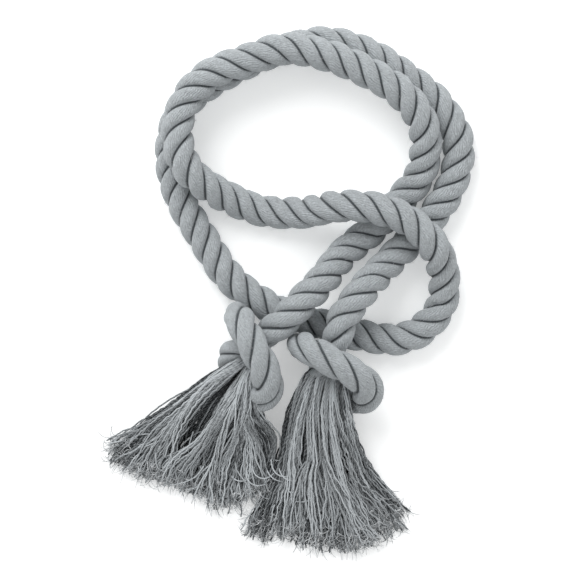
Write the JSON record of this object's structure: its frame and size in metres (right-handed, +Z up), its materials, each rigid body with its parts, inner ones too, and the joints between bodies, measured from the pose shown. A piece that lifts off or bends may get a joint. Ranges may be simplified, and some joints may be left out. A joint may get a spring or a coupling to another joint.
{
  "type": "curtain tieback",
  "caption": "Twisted cotton rope curtain tieback laid flat in a slip loop, with an overhand knot and a frayed tassel at each end.",
  "frame": {"origin": "centre of the object's outline seen from above, on the surface it lies on", "axes": "+Z up from the surface, +Y from the tassels to the head of the loop, +X to the right seen from above"},
  "size_m": [0.205, 0.2878, 0.0449],
  "materials": {
    "rope_cotton": "matte twisted cotton",
    "tassel_cotton": "matte loose cotton yarn"
  },
  "bodies": {
    "root": {"rope": "rope_cotton", "tassel_left": "tassel_cotton", "tassel_right": "tassel_cotton"}
  },
  "joints": []
}
